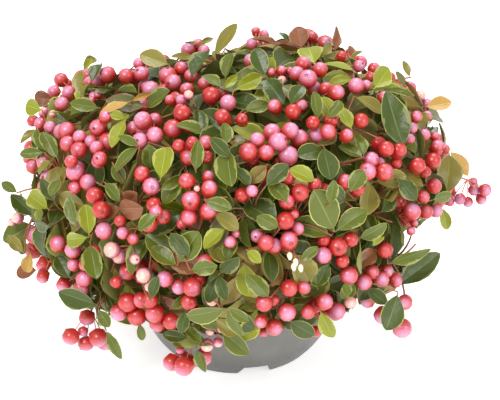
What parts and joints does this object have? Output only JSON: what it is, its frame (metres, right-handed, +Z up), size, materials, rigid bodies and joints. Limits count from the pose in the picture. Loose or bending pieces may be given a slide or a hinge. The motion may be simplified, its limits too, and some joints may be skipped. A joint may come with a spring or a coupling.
{
  "type": "potted wintergreen plant",
  "caption": "Low, dense berrying evergreen shrub in a round shallow bowl: short woody stem, boughs, leafy masses with clustered berries, soil and a notched bowl.",
  "frame": {"origin": "middle of the whole plant's outline seen from above, on the plane that the bowl stands on", "axes": "+Z up; -Y is the side that faces the viewer in the picture; +X to the viewer's right"},
  "size_m": [0.392, 0.356, 0.265],
  "materials": {
    "bowl": "satin",
    "soil": "matte",
    "bark": "rough",
    "foliage": "semi-gloss"
  },
  "bodies": {
    "root": {"bough_middle_1": "bark", "bough_middle_2": "bark", "bough_middle_3": "bark", "bough_middle_4": "bark", "bough_middle_5": "bark", "bough_middle_6": "bark", "bough_middle_7": "bark", "bough_middle_8": "bark", "bough_middle_9": "bark", "bough_peak_1": "bark", "bough_skirt_1": "bark", "bough_skirt_2": "bark", "bough_skirt_3": "bark", "bough_skirt_4": "bark", "bough_skirt_5": "bark", "bough_skirt_6": "bark", "bough_skirt_7": "bark", "bough_skirt_8": "bark", "bough_skirt_9": "bark", "bough_upper_1": "bark", "bough_upper_2": "bark", "bough_upper_3": "bark", "bough_upper_4": "bark", "bough_upper_5": "bark", "bough_upper_6": "bark", "bowl": "bowl", "foliage_middle_1": "foliage", "foliage_middle_2": "foliage", "foliage_middle_3": "foliage", "foliage_middle_4": "foliage", "foliage_middle_5": "foliage", "foliage_middle_6": "foliage", "foliage_middle_7": "foliage", "foliage_middle_8": "foliage", "foliage_middle_9": "foliage", "foliage_peak_1": "foliage", "foliage_skirt_1": "foliage", "foliage_skirt_2": "foliage", "foliage_skirt_3": "foliage", "foliage_skirt_4": "foliage", "foliage_skirt_5": "foliage", "foliage_skirt_6": "foliage", "foliage_skirt_7": "foliage", "foliage_skirt_8": "foliage", "foliage_skirt_9": "foliage", "foliage_upper_1": "foliage", "foliage_upper_2": "foliage", "foliage_upper_3": "foliage", "foliage_upper_4": "foliage", "foliage_upper_5": "foliage", "foliage_upper_6": "foliage", "soil": "soil", "stem": "bark"}
  },
  "joints": []
}
